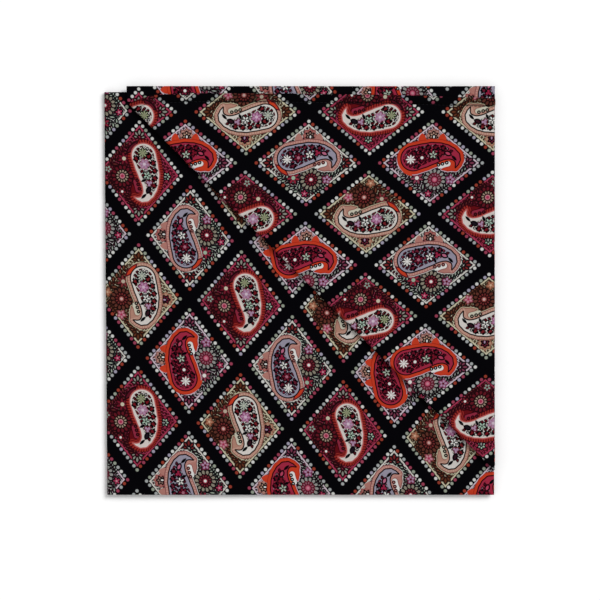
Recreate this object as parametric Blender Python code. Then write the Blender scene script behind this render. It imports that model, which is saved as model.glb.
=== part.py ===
"""A square cotton bandana folded in four, laid flat, with a corner of its upper plies turned over.

Metres, +Z up. The origin is on the table, under the middle of the folded square. +Y is the top
of the square and +X its right side. The plies are walls about 1 mm thick with a small gap between
them. From the table up they are the hidden plies, the lower ply, the upper ply and the flap. The
flap is the lower left corner of the upper plies, turned over along a diagonal fold onto the upper
right half. Its top edge is the sewn edge of the cloth, with a hem.
"""

import bpy
import numpy as np

MM = 0.001

# The folded square, seen from above
WIDTH = 269.8 * MM
LENGTH = 282.2 * MM
RIGHT = WIDTH / 2
TOP = LENGTH / 2
BOTTOM = -LENGTH / 2

# Walls
PLY = 1.0 * MM
GAP = 0.3 * MM
EDGE = PLY / 2  # radius of a ply's rounded edge

# Hidden plies: one solid with a rounded edge for each ply
HIDDEN_COUNT = 2
HIDDEN_PLY = 1.1 * MM
HIDDEN_INSET = {"left": 1.9 * MM, "right": 1.3 * MM, "bottom": 1.2 * MM, "top": 1.5 * MM}
HIDDEN_STEP = 0.5 * MM  # how far the bottom ply stands out past the one on it

# Lower ply: its left edge slants and its top edge stops short of the upper ply's
LOWER_LEFT_TOP = -RIGHT
LOWER_LEFT_BOTTOM = -RIGHT + 2.1 * MM
LOWER_TOP = TOP - 4.1 * MM
LOWER_RIGHT = RIGHT - 0.5 * MM

# Upper ply
UPPER_LEFT = -RIGHT + 15.5 * MM
UPPER_TIP_DROP = 10.6 * MM  # length of its short left edge
UPPER_END_DROP = 9.0 * MM  # blunt end at the lower right
UPPER_SHIFT_SHARE = 0.25  # how far its inner edge slides to the left, as a share of its depth

# Diagonal fold: the line x + y = FOLD_SUM
FOLD_SUM = 10.35 * MM
FOLD_START_X = -118.3 * MM
FOLD_LOFT = 0.8 * MM  # how far the flap stands up beside the fold
FOLD_REACH = 16.0 * MM  # how far from the fold that loft dies away
LIP = 2.0 * MM  # the stretch that runs back under the fold

# Flap's top edge, left to right: (x, y) in millimetres
FLAP_EDGE_MM = (
    (-118.3, 128.7),
    (-116.2, 130.0),
    (-110.1, 132.4),
    (-101.1, 134.9),
    (-75.6, 136.3),
    (0.3, 135.9),
    (69.3, 134.9),
    (112.1, 133.5),
    (134.9, 132.8),
)
FLAP_RIGHT = RIGHT - 0.3 * MM
HEM_WIDTH = 6.0 * MM
HEM_THICKNESS = 1.2 * MM
HEM_START = 4.5 * MM  # along x, from the fold's start to the end of the hem's inner edge
HEM_TIP = 1.5 * MM  # along x, from the fold's start to the end of its outer edge
FLAP_START = 2.0 * MM  # along x, from the hem's inner end to the end of the flap's panel
FLAP_CORNER = 2.0 * MM  # along x, from there to the panel's corner at the hem

# Heights of the plies' undersides
LOWER_Z = HIDDEN_COUNT * HIDDEN_PLY + GAP
UPPER_Z = LOWER_Z + PLY + GAP
FLAP_Z = UPPER_Z + PLY + GAP

# How the cloth fails to lie quite flat: (height, x wavelength, y wavelength, phase)
RIPPLES = (
    (0.20 * MM, 260 * MM, 330 * MM, 0.6),
    (0.12 * MM, -150 * MM, 190 * MM, 2.1),
    (0.07 * MM, 95 * MM, 80 * MM, 4.0),
)

# Mesh: grid steps, and segments round an edge and round the fold
LOWER_STEPS = (26, 27)
UPPER_STEPS = (26, 12)
FLAP_STEPS = (30, 13)
HEM_STEPS = (44, 3)
RIM_SEGMENTS = 4
ROLL_SEGMENTS = 6
FOLD_CROWDING = 1.7  # above 1, the flap's rows get closer towards the fold
SHARP_ANGLE = np.radians(60)

# Finish: black ground under a dense print
CLOTH_ROUGHNESS = 0.9


def ripple(x, y):
    """Height of the soft waves in the lying cloth: a sum of sines across the square."""
    return sum(
        height * np.sin(2 * np.pi * (x / wave_x + y / wave_y) + phase)
        for height, wave_x, wave_y, phase in RIPPLES
    )


def unit(vectors):
    """Vectors scaled to length 1."""
    return vectors / np.linalg.norm(vectors, axis=-1, keepdims=True)


def fold_point(x, depth=0.0):
    """Point (x, y) on the fold line, moved depth towards the upper right."""
    x = np.asarray(x, dtype=float)
    shift = depth / np.sqrt(2)
    return np.stack([x + shift, FOLD_SUM - x + shift], axis=-1)


def flap_edge_y(x):
    """Height on the square of the flap's top edge at x."""
    table = np.array(FLAP_EDGE_MM) * MM
    return np.interp(x, table[:, 0], table[:, 1])


def add_object(name, points, faces, colour):
    """Object from points and quads, facing out, with its own cloth material."""
    mesh = bpy.data.meshes.new(name)
    mesh.from_pydata(points.tolist(), [], faces.tolist())
    mesh.update()
    mesh.shade_smooth()
    mesh.set_sharp_from_angle(angle=SHARP_ANGLE)
    obj = bpy.data.objects.new(name, mesh)
    bpy.context.scene.collection.objects.link(obj)

    material = bpy.data.materials.new(name)
    material.use_nodes = True
    shader = material.node_tree.nodes["Principled BSDF"]
    shader.inputs["Base Color"].default_value = (*colour, 1)
    shader.inputs["Roughness"].default_value = CLOTH_ROUGHNESS
    shader.inputs["Metallic"].default_value = 0.0
    mesh.materials.append(material)
    return obj


def perimeter(rows, columns):
    """Indices of a grid's border points, once round, in a grid of rows by columns points."""
    index = np.arange(rows * columns).reshape(rows, columns)
    return np.concatenate(
        [index[:-1, 0], index[-1, :-1], index[:0:-1, -1], index[0, :0:-1]]
    )


def outward(grid):
    """For each border point of a grid, the unit direction that leaves the grid there.

    It is the difference from the next row in, the next column in, or both at a corner.
    """
    away = np.zeros_like(grid)
    away[0] += unit(grid[0] - grid[1])
    away[-1] += unit(grid[-1] - grid[-2])
    away[:, 0] += unit(grid[:, 0] - grid[:, 1])
    away[:, -1] += unit(grid[:, -1] - grid[:, -2])
    border = perimeter(*grid.shape[:2])
    return unit(away.reshape(-1, 3)[border])


def closed_faces(rows, columns, rims):
    """Quads of a closed wall: an upper grid, a lower grid, and rims border loops between them.

    The points are the upper grid, the lower grid, then the loops from upper to lower.
    """
    index = np.arange(rows * columns).reshape(rows, columns)
    upper = np.stack([index[:-1, :-1], index[1:, :-1], index[1:, 1:], index[:-1, 1:]], axis=-1)
    lower = upper[..., ::-1] + rows * columns
    border = perimeter(rows, columns)
    loops = [border]
    loops += [2 * rows * columns + k * len(border) + np.arange(len(border)) for k in range(rims)]
    loops += [border + rows * columns]
    strips = [
        np.stack([a, b, np.roll(b, -1), np.roll(a, -1)], axis=-1)
        for a, b in zip(loops[:-1], loops[1:])
    ]
    return np.concatenate([upper.reshape(-1, 4), lower.reshape(-1, 4), *strips])


def wall(name, upper, lower, colour):
    """Closed wall between two grids of points, with a half-round edge all the way round.

    The edge is a half circle from the upper border to the lower one: the middle of the two,
    plus half their difference times the sine, plus the way out times the cosine.
    """
    rows, columns = upper.shape[:2]
    border = perimeter(rows, columns)
    middle = ((upper + lower) / 2).reshape(-1, 3)[border]
    half = ((upper - lower) / 2).reshape(-1, 3)[border]
    radius = np.linalg.norm(half, axis=-1, keepdims=True)
    away = outward((upper + lower) / 2)
    angles = np.linspace(np.pi / 2, -np.pi / 2, RIM_SEGMENTS + 1)[1:-1]
    rims = [middle + half * np.sin(a) + away * radius * np.cos(a) for a in angles]
    points = np.concatenate([upper.reshape(-1, 3), lower.reshape(-1, 3), *rims])
    return add_object(name, points, closed_faces(rows, columns, len(rims)), colour)


def ruled(near, far, across):
    """Grid in plan between two lists of points: each pair joined by a straight row."""
    share = np.asarray(across)[None, :, None]
    return near[:, None, :] * (1 - share) + far[:, None, :] * share


def level(plan, height):
    """Plan points given a height above the table, plus the ripple there."""
    z = height + ripple(plan[..., 0], plan[..., 1])
    return np.concatenate([plan, z[..., None]], axis=-1)


def hidden_plan(step, inset=0.0):
    """Plan grid under the lower ply, from its lower left corner, brought in by inset."""
    left_top = LOWER_LEFT_TOP + HIDDEN_INSET["left"] + inset
    left_bottom = LOWER_LEFT_BOTTOM + HIDDEN_INSET["left"] + inset
    right = LOWER_RIGHT - HIDDEN_INSET["right"] - inset
    low = BOTTOM + HIDDEN_INSET["bottom"] + inset
    high = LOWER_TOP - HIDDEN_INSET["top"] - inset
    up = np.linspace(0, 1, step[1] + 1)
    left = np.stack([left_bottom + (left_top - left_bottom) * up, low + (high - low) * up], -1)
    far = np.stack([np.full_like(up, right), low + (high - low) * up], -1)
    return ruled(left, far, np.linspace(0, 1, step[0] + 1)).transpose(1, 0, 2)


def hidden_plies():
    """One solid for the plies below: a flat underside and a half-round edge for each ply."""
    radius = HIDDEN_PLY / 2
    plan = hidden_plan(LOWER_STEPS, inset=radius)
    upper = level(plan, HIDDEN_COUNT * HIDDEN_PLY)
    lower = np.concatenate([plan, np.zeros_like(plan[..., :1])], axis=-1)
    border = perimeter(*plan.shape[:2])
    top = upper.reshape(-1, 3)[border]
    away = outward(lower)
    rims = []
    for ply in range(HIDDEN_COUNT):
        stands_out = HIDDEN_STEP * ply
        middle_share = 1 - (ply + 0.5) / HIDDEN_COUNT
        angles = np.linspace(np.pi / 2, -np.pi / 2, RIM_SEGMENTS + 1)
        for a in angles[1:-1] if ply == HIDDEN_COUNT - 1 else angles[1:]:
            ring = top + away * (stands_out + radius * np.cos(a))
            ring[:, 2] = top[:, 2] * (middle_share + np.sin(a) / 2 / HIDDEN_COUNT)
            rims.append(ring)
    points = np.concatenate([upper.reshape(-1, 3), lower.reshape(-1, 3), *rims])
    faces = closed_faces(*plan.shape[:2], len(rims))
    return add_object("hidden_plies", points, faces, colour=(0.006, 0.005, 0.009))


def lower_ply():
    """The ply whose printed face shows in the lower left half."""
    up = np.linspace(0, 1, LOWER_STEPS[1] + 1)
    y = BOTTOM + EDGE + (LOWER_TOP - BOTTOM - 2 * EDGE) * up
    left_x = LOWER_LEFT_BOTTOM + (LOWER_LEFT_TOP - LOWER_LEFT_BOTTOM) * up + EDGE
    left = np.stack([left_x, y], -1)
    right = np.stack([np.full_like(y, LOWER_RIGHT - EDGE), y], -1)
    plan = ruled(left, right, np.linspace(0, 1, LOWER_STEPS[0] + 1)).transpose(1, 0, 2)
    return wall("lower_ply", level(plan, LOWER_Z + PLY), level(plan, LOWER_Z),
                colour=(0.012, 0.009, 0.014))


def corner_run(start, corner, end, steps):
    """Points from start to corner to end, with the corner at the middle one."""
    half = np.linspace(0, 1, steps // 2 + 1)[:, None]
    first = np.array(start) * (1 - half) + np.array(corner) * half
    second = np.array(corner) * (1 - half) + np.array(end) * half
    return np.concatenate([first[:-1], second])


def roll_radius():
    """Radius of the fold, at the middle of its wall."""
    return (FLAP_Z + FOLD_LOFT - UPPER_Z) / 2


def upper_ply():
    """The ply that shows along the top edge. It runs under the flap up to the fold's lip."""
    steps = UPPER_STEPS[0]
    depth = roll_radius() + EDGE + LIP + GAP + 2 * EDGE
    along = np.linspace(0, 1, steps + 1)
    start_x = FOLD_START_X - depth * UPPER_SHIFT_SHARE
    near = fold_point(start_x + (RIGHT - EDGE - FOLD_START_X) * along, depth)
    near[:, 0] = np.minimum(near[:, 0], RIGHT - EDGE)
    near[0] = (UPPER_LEFT + EDGE, TOP - UPPER_TIP_DROP)
    far = corner_run(
        (UPPER_LEFT + EDGE, TOP - EDGE),
        (RIGHT - EDGE, TOP - EDGE),
        (RIGHT - EDGE, near[-1, 1] + UPPER_END_DROP),
        steps,
    )
    plan = ruled(near, far, np.linspace(0, 1, UPPER_STEPS[1] + 1))
    return wall("upper_ply", level(plan, UPPER_Z + PLY), level(plan, UPPER_Z),
                colour=(0.020, 0.016, 0.024))


def flap_lines():
    """Near and far ends in plan of the flap's rows: on the fold, and at the hem or right edge."""
    steps = FLAP_STEPS[0]
    half = steps // 2
    start_x = FOLD_START_X + HEM_START + FLAP_START
    near = fold_point(start_x + (FLAP_RIGHT - EDGE - start_x) * np.linspace(0, 1, steps + 1))
    hem_x = np.linspace(start_x + FLAP_CORNER, FLAP_RIGHT - EDGE, half + 1)
    hem_y = flap_edge_y(hem_x) - HEM_WIDTH - GAP - EDGE
    down_y = np.linspace(hem_y[-1], near[-1, 1] + UPPER_END_DROP, half + 1)
    down = np.stack([np.full_like(down_y, FLAP_RIGHT - EDGE), down_y], -1)
    far = np.concatenate([np.stack([hem_x, hem_y], -1)[:-1], down])
    return near, far


def turned_flap():
    """The turned-over corner: a panel, the fold's half-round roll and a short lip under it.

    A row of the wall's middle is given by its distance in from the fold line and its height:
    the panel comes in from the far edge, rising by the loft times a bell curve of the distance,
    the roll is a half circle, and the lip goes back in at the upper ply's height.
    """
    near, far = flap_lines()
    reach = np.linalg.norm(far - near, axis=-1)
    away = unit(far - near)
    radius = roll_radius()
    turn = radius + EDGE

    share = np.linspace(1, 0, FLAP_STEPS[1] + 1) ** FOLD_CROWDING
    panel_in = turn + (reach[:, None] - turn).clip(GAP) * share
    loft = FOLD_LOFT * np.exp(-(((panel_in - turn) / FOLD_REACH) ** 2))
    panel_z = FLAP_Z + EDGE + loft

    angles = np.linspace(np.pi / 2, 3 * np.pi / 2, ROLL_SEGMENTS + 1)[1:]
    centre_z = UPPER_Z + EDGE + radius
    roll_in = np.tile(turn + radius * np.cos(angles), (len(near), 1))
    roll_z = np.tile(centre_z + radius * np.sin(angles), (len(near), 1))

    lip_in = np.full((len(near), 1), turn + LIP - EDGE)
    lip_z = np.full((len(near), 1), UPPER_Z + EDGE)

    inwards = np.concatenate([panel_in, roll_in, lip_in], axis=1)
    height = np.concatenate([panel_z, roll_z, lip_z], axis=1)

    run, rise = np.gradient(inwards, axis=1), np.gradient(height, axis=1)
    length = np.hypot(run, rise)
    side_in, side_z = rise / length, -run / length

    def surface(offset):
        """The wall's middle moved by offset along its own normal, on the rippled ply below.

        The lip's end comes first in each row, so that the rows turn the right way for wall().
        """
        distance = inwards + side_in * offset
        plan = near[:, None, :] + away[:, None, :] * distance[..., None]
        z = height + side_z * offset + ripple(plan[..., 0], plan[..., 1])
        return np.concatenate([plan, z[..., None]], axis=-1)[:, ::-1]

    return wall("turned_flap", surface(EDGE), surface(-EDGE), colour=(0.028, 0.022, 0.032))


def flap_hem():
    """The hem along the flap's top edge: a strip a little thicker than the cloth."""
    edge = HEM_THICKNESS / 2
    outer_x = np.linspace(FOLD_START_X + HEM_TIP, RIGHT - edge, HEM_STEPS[0] + 1)
    outer = np.stack([outer_x, flap_edge_y(outer_x) - edge], -1)
    inner_x = np.linspace(FOLD_START_X + HEM_START, RIGHT - edge, HEM_STEPS[0] + 1)
    inner = np.stack([inner_x, flap_edge_y(inner_x) - HEM_WIDTH + edge], -1)
    plan = ruled(inner, outer, np.linspace(0, 1, HEM_STEPS[1] + 1))
    return wall("flap_hem", level(plan, FLAP_Z + HEM_THICKNESS), level(plan, FLAP_Z),
                colour=(0.014, 0.012, 0.018))


def main():
    for old in list(bpy.data.objects):
        bpy.data.objects.remove(old)
    hidden_plies()
    lower_ply()
    upper_ply()
    turned_flap()
    flap_hem()


main()
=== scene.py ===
"""Looks of the folded bandana: printed cotton plies, the sewn hem with its stitches, floor,
light and camera.

Metres in the frame of the CAD: +Z up, the origin on the table under the middle of the square.
The material draws the print from each point's place on the flat cloth, kept in the attribute
print_place in print units of 0.69 mm.
"""

import math

import bpy
import numpy as np
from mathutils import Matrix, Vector


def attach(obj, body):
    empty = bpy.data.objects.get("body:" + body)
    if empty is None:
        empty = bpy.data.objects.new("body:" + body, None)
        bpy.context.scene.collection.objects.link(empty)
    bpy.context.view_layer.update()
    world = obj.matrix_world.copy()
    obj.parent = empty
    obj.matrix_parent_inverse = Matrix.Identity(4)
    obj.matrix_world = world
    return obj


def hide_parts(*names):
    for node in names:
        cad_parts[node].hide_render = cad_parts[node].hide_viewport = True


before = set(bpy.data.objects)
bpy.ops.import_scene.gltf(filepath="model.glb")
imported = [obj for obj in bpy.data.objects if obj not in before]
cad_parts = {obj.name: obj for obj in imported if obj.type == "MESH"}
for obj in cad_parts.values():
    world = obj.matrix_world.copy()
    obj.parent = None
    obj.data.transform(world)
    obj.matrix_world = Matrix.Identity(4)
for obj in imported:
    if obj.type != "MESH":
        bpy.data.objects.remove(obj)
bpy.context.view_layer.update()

MM = 0.001
UNIT = 0.69 * MM  # print unit, and the size of one of the photograph's pixels

# The photograph: its pixels across, and the pixel over the frame's origin, with y down
PICTURE_SIZE = 600
PICTURE_X, PICTURE_Y = 299.5, 290.5

# The folded square, as in the CAD
RIGHT = 134.9 * MM
TOP = 141.1 * MM
BOTTOM = -141.1 * MM
LOWER_LEFT_TOP = -134.9 * MM
LOWER_LEFT_BOTTOM = -132.8 * MM
LOWER_TOP = 137.0 * MM
LOWER_RIGHT = 134.4 * MM
UPPER_LEFT = -119.4 * MM
UPPER_TIP_DROP = 10.6 * MM
UPPER_END_DROP = 9.0 * MM
FOLD_SUM = 10.35 * MM  # x + y all along the diagonal fold
FOLD_START_X = -118.3 * MM
FOLD_LOFT = 0.8 * MM
FOLD_REACH = 16.0 * MM
LIP = 2.0 * MM
FLAP_EDGE_MM = (
    (-118.3, 128.7), (-116.2, 130.0), (-110.1, 132.4), (-101.1, 134.9), (-75.6, 136.3),
    (0.3, 135.9), (69.3, 134.9), (112.1, 133.5), (134.9, 132.8),
)
FLAP_RIGHT = 134.6 * MM
LOWER_TOP_Z = 3.5 * MM
UPPER_BOTTOM_Z = 3.8 * MM
UPPER_TOP_Z = 4.8 * MM
FLAP_BOTTOM_Z = 5.1 * MM
FLAP_TOP_Z = 6.1 * MM

# Soft waves in the lying cloth: height, wavelength across, wavelength upwards, phase
RIPPLES = (
    (0.20 * MM, 260 * MM, 330 * MM, 0.6),
    (0.12 * MM, -150 * MM, 190 * MM, 2.1),
    (0.07 * MM, 95 * MM, 80 * MM, 4.0),
)

# Cloth
THICKNESS = 0.45 * MM
MESH_STEP = 2.2 * MM
RIM_SEGMENTS = 4
ROLL_SEGMENTS = 10
INNER_Z = 1.7 * MM
INNER_LEFT = LOWER_LEFT_TOP + 2.8 * MM
INNER_RIGHT = LOWER_RIGHT - 1.2 * MM
INNER_BOTTOM = BOTTOM + 1.1 * MM
INNER_TOP = LOWER_TOP - 1.3 * MM
UPPER_START = 5.0 * MM  # how far inside the fold the upper plies start
SECOND_INSET = 0.7 * MM  # the second ply's edges behind the upper one's
LINING_START = 4.0 * MM
LINING_INSET = 0.6 * MM

# Hem and its stitches
HEM_WIDTH = 6.0 * MM
HEM_START = 4.5 * MM
HEM_LEFT = FOLD_START_X + 1.0 * MM
HEM_RIGHT = RIGHT - 0.3 * MM
HEM_LAP = 0.2 * MM  # how far the flap's cloth reaches under the hem
HEM_EDGE_INSET = 0.45 * MM
HEM_SEAM_INSET = 0.35 * MM
HEM_MIDDLE_Z = FLAP_TOP_Z - 0.55 * MM
HEM_EVEN = 0.55 * MM  # the part of its thickness that is the same all over
HEM_SWELL = 0.65 * MM  # the part that swells towards its middle
HEM_SAMPLES = 360
HEM_DIP = 0.35 * MM  # how deep the cloth beside the hem is pulled down
HEM_DIP_REACH = 1.2 * MM
STITCH_PITCH = 2.8 * MM
STITCH_LENGTH = 2.1 * MM
STITCH_DIP = 0.22 * MM
STITCH_INSET = 0.05 * MM
STITCH_MARGIN = 1.5 * MM  # bare length at both ends of the row
THREAD_RADIUS = 0.17 * MM
THREAD_SIDES = 8
THREAD_RINGS = 9
PUCKER = 0.07 * MM

# How dark the printed cloth is against its inks, and the hem's, darker as painted shade
CLOTH_SHADE = 0.67
HEM_PAINTED_SHADE = 0.54


# ------------ sockets as numbers
class Field:
    """A value that varies over a surface: one output socket of a material, with arithmetic."""

    def __init__(self, tree, socket):
        self.tree = tree
        self.socket = socket

    def node(self, kind, inputs=(), output=0, **settings):
        return add_node(self.tree, kind, inputs, output, **settings)

    def maths(self, operation, *values):
        return self.node("ShaderNodeMath", enumerate((self, *values)), operation=operation)

    def along_axes(self, operation, *values, output="Vector"):
        inputs = enumerate((self, *values))
        return self.node("ShaderNodeVectorMath", inputs, output, operation=operation)

    def __add__(self, other):
        return self.maths("ADD", other)

    __radd__ = __add__

    def __sub__(self, other):
        return self.maths("SUBTRACT", other)

    def __rsub__(self, other):
        return self.node("ShaderNodeMath", enumerate((other, self)), operation="SUBTRACT")

    def __mul__(self, other):
        return self.maths("MULTIPLY", other)

    __rmul__ = __mul__

    def __truediv__(self, other):
        return self.maths("DIVIDE", other)

    def __rtruediv__(self, other):
        return self.node("ShaderNodeMath", enumerate((other, self)), operation="DIVIDE")

    def __abs__(self):
        return self.maths("ABSOLUTE")


def add_node(tree, kind, inputs=(), output=0, stops=(), **settings):
    """A new node's output. The settings and a ramp's stops come first, then each input as a
    Field or a value."""
    node = tree.nodes.new(kind)
    for name, value in settings.items():
        setattr(node, name, value)
    if stops:
        set_stops(node.color_ramp, stops)
    for key, value in dict(inputs).items():
        if isinstance(value, Field):
            tree.links.new(value.socket, node.inputs[key])
        else:
            node.inputs[key].default_value = value
    return Field(tree, None if output is None else node.outputs[output])


def set_stops(ramp, stops):
    """Constant colours, each from its start up to the next one's."""
    ramp.interpolation = "CONSTANT"
    while len(ramp.elements) < len(stops):
        ramp.elements.new(1.0)
    for element, (start, colour) in zip(ramp.elements, stops):
        element.position = start
        element.color = colour


def tree_of(*values):
    """The first of the values that is a Field, to make the next node with."""
    return next(value for value in values if isinstance(value, Field))


def least(a, b):
    return a.maths("MINIMUM", b)


def most(a, b):
    return a.maths("MAXIMUM", b)


def soft_least(a, b, blend):
    """The least of two, rounded off where they differ by less than blend."""
    return a.maths("SMOOTH_MIN", b, blend)


def rounded(a):
    return a.maths("ROUND")


def floored(a):
    return a.maths("FLOOR")


def cosine(a):
    return a.maths("COSINE")


def sine(a):
    return a.maths("SINE")


def wrapped(a, size):
    """What is left of a above the nearest lower multiple of size."""
    return a.maths("WRAP", size, 0.0)


def atan2(y, x):
    return y.maths("ARCTAN2", x)


def times_plus(a, factor, extra):
    return a.maths("MULTIPLY_ADD", factor, extra)


def soft_step(a, start, end):
    """0 at start, 1 at end, eased between them."""
    inputs = {"Value": a, "From Min": start, "From Max": end}
    return a.node("ShaderNodeMapRange", inputs, interpolation_type="SMOOTHSTEP", clamp=False)


def below(a, edge, soft=0.25):
    """1 where a is under the edge, 0 over it, over a width of soft."""
    return soft_step(a, edge + soft / 2, edge - soft / 2)


def above(a, edge, soft=0.25):
    return soft_step(a, edge - soft / 2, edge + soft / 2)


def clamped(a, low=0.0, high=1.0):
    return a.node("ShaderNodeClamp", {"Value": a, "Min": low, "Max": high})


def share(a, low, high):
    """0 at low, 1 at high, straight between them."""
    return clamped(times_plus(a, 1 / (high - low), -low / (high - low)))


def vec(x, y):
    return (x, y, 0.0)


def vector(x, y):
    return tree_of(x, y).node("ShaderNodeCombineXYZ", {0: x, 1: y})


def parts(v):
    """A place's x and y, as its products with the two axes."""
    return along(v, vec(1, 0)), along(v, vec(0, 1))


def vabs(v):
    return v.along_axes("ABSOLUTE")


def vsign(v):
    return v.along_axes("SIGN")


def vadd(v, other):
    return v.along_axes("ADD", other)


def vsub(v, other):
    return v.along_axes("SUBTRACT", other)


def vmul(v, other):
    return v.along_axes("MULTIPLY", other)


def scaled(v, factor):
    inputs = {"Vector": v, "Scale": factor}
    return tree_of(v, factor).node("ShaderNodeVectorMath", inputs, "Vector", operation="SCALE")


def apart(a, b):
    return a.along_axes("DISTANCE", b, output="Value")


def along(a, b):
    return a.along_axes("DOT_PRODUCT", b, output="Value")


def hashed(v):
    """A number from 0 to 1 that is random for each place: the part after the point of a
    large sine."""
    return wrapped(sine(along(v, (12.9898, 78.233, 37.719))) * 43758.5453, 1.0)


def ink(colour):
    """A colour's red, green and blue on a screen, 0 to 255, as shares of light. A Field is
    one already."""
    if isinstance(colour, Field):
        return colour
    screen = np.array(colour) / 255
    light = np.where(screen <= 0.04045, screen / 12.92, ((screen + 0.055) / 1.055) ** 2.4)
    return (*(float(c) for c in light), 1.0)


def paint(under, over, mask):
    """One colour over another, where the mask is 1."""
    inputs = {"Factor": mask, 6: ink(under), 7: ink(over)}
    return mask.node("ShaderNodeMix", inputs, 2, data_type="RGBA", clamp_factor=False)


def steps(value, *stops):
    """The colour of the last stop that the value has passed."""
    stops = [(start, ink(colour)) for start, colour in stops]
    return value.node("ShaderNodeValToRGB", {0: value}, stops=stops)


# ------------ the print
# Drawn in print units, one lozenge at a time, with +Y towards the top of the cloth.

CELL_X, CELL_Y = 51.5, 61.5      # half diagonals of a lozenge with its share of the black band
DOTS_X, DOTS_Y = 42.0, 51.0      # half diagonals of the line of dots round it
GROUND_SHARE = 0.935             # the coloured ground's size as a share of that
DOT_STEPS = 13                   # steps from a side corner to the top or bottom one

# Inks, as red, green and blue on a screen
BLACK = (3, 2, 6)
DARK = (24, 6, 12)
MAROON = (96, 20, 36)
ROSE = (176, 52, 88)
PALE_ROSE = (206, 136, 152)
LILAC = (182, 146, 176)
WHITE = (238, 236, 232)
CREAM = (214, 206, 182)
LEAF = (18, 34, 24)
PALE_GREEN = (166, 190, 168)
ORANGE = (208, 66, 38)
TAN = (190, 134, 108)

# A lozenge is one of four colourways: red, grey, orange, beige. WAY_STARTS tells them apart,
# and each row after it is one thing's ink in all four.
WAY_STARTS = (0.0, 0.25, 0.5, 0.75)
GROUND = ((176, 58, 88), (226, 222, 214), (220, 200, 212), (214, 206, 176))
FILLER_LINE = ((40, 6, 14), (16, 16, 20), (22, 8, 16), (44, 22, 16))
RING = ((104, 14, 22), (186, 128, 118), (208, 64, 38), (188, 140, 122))
PETAL = ((120, 24, 34), (104, 30, 48), (104, 16, 38), (120, 34, 40))

# Chances of a dot's inks, each from its start up to the next one's
DOT_INKS = (
    (0.00, (226, 226, 222)),
    (0.20, (176, 180, 180)),
    (0.46, (160, 168, 152)),
    (0.58, (172, 166, 186)),
    (0.66, (164, 68, 92)),
    (0.84, (160, 64, 48)),
)

# The paisley: discs (x, y, radius) from its fat end down to its tip, which curls to the left
PAISLEY = (
    (4.6, 17.6, 12.6), (7.2, 8.3, 12.0), (9.8, -0.6, 10.9), (11.2, -8.0, 9.0), (11.2, -13.8, 7.5),
    (10.0, -19.3, 5.9), (7.2, -23.8, 4.6), (3.4, -26.2, 2.9), (-0.8, -25.9, 1.5), (-4.6, -24.4, 0.3),
)
RING_WIDTH = 3.5
HOOK = ((-3.4, -22.0, 4.4), (-5.6, -17.0, 2.7), (-6.6, -10.8, 0.4))
HOLLOW = ((-4.0, -8.6, 1.7), (-0.9, -16.8, 2.6))
HOLLOW_BEADS = ((-1.9, -7.4), (-0.9, -11.4), (0.3, -15.6))
HEARTS = ((-3.2, 14.4), (9.6, 17.4), (14.0, 11.0), (15.6, 3.2), (15.9, -4.2), (15.0, -11.6))

# Sprays of leaves: start, direction in degrees, length, width of a leaf
SPRAYS = (
    ((-28.0, 7.5), 50, 27, 2.6),
    ((-3.5, -34.5), 118, 17, 2.4),
    ((-30.0, -7.5), -52, 14, 2.4),
)

# Palmettes in the top and bottom corners: foot, tip and width of each lobe of the right half
LOBES = (
    ((0.0, 37.5), (0.0, 44.0), 3.4),
    ((1.4, 36.6), (4.6, 41.4), 3.0),
    ((1.6, 35.4), (6.0, 36.8), 2.6),
)
ROSETTE = (-16.8, -4.0)
CROWN = (27.6, -1.6)


def capsule(at, start, end):
    """Distance to a round rod between two discs, negative inside it. The nearest disc of the
    rod stands off the foot point by the slope of the rod's side, so the outline is smooth."""
    (x0, y0, r0), (x1, y1, r1) = start, end
    dx, dy = x1 - x0, y1 - y0
    size = dx * dx + dy * dy
    slope = (r0 - r1) / math.sqrt(size - (r0 - r1) ** 2) / size
    rel = vsub(at, vec(x0, y0))
    off = abs(along(rel, vec(-dy * slope, dx * slope)))
    h = clamped(along(rel, vec(dx / size, dy / size)) - off)
    return apart(rel, scaled(vec(dx, dy), h)) - times_plus(h, r1 - r0, r0)


def chain(at, discs, blend=0.6):
    """Distance to the rods between each disc and the next, joined with soft corners."""
    shape = capsule(at, discs[0], discs[1])
    for start, end in zip(discs[1:-1], discs[2:]):
        shape = soft_least(shape, capsule(at, start, end), blend)
    return shape


def leaf(at, start, end, width):
    """Distance to a pointed leaf: the part that two equal discs share."""
    (x0, y0), (x1, y1) = start, end
    half = math.hypot(x1 - x0, y1 - y0) / 2
    radius = (half * half + width * width / 4) / width
    away = (radius - width / 2) / (half * 2)
    mx, my = (x0 + x1) / 2, (y0 + y1) / 2
    sx, sy = -(y1 - y0) * away, (x1 - x0) * away
    return most(apart(at, vec(mx + sx, my + sy)), apart(at, vec(mx - sx, my - sy))) - radius


def flower(at, spot, radius, petals, depth=0.3, turn=0.0):
    """Distance to a flower's scalloped outline, the distance from its middle, and its wave:
    the cosine of the angle round the middle, taken as many times as there are petals."""
    x, y = parts(vsub(at, vec(*spot)))
    r = apart(at, vec(*spot))
    wave = cosine(times_plus(atan2(y, x), petals, turn))
    return r - times_plus(wave, radius * depth / 2, radius * (1 - depth / 2)), r, wave


def outlined(colour, shape, body, line=BLACK, width=1.0, soft=0.4):
    """A shape painted with its outline."""
    colour = paint(colour, line, below(shape, width * 0.65, soft))
    return paint(colour, body, below(shape, width * -0.6, soft))


def bloom(colour, at, spot, radius, petals, body, line=BLACK, depth=0.4, turn=0.0, width=1.1,
          core=None, core_radius=1.0):
    """A flower with its outline, lines between its petals, and its middle."""
    shape, r, wave = flower(at, spot, radius, petals, depth, turn)
    colour = outlined(colour, shape, body, line, width)
    between = below(wave, -0.62, 0.4) * above(r, core_radius) * below(shape, 0)
    colour = paint(colour, line, between)
    return colour if core is None else paint(colour, core, below(r, core_radius))


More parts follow.
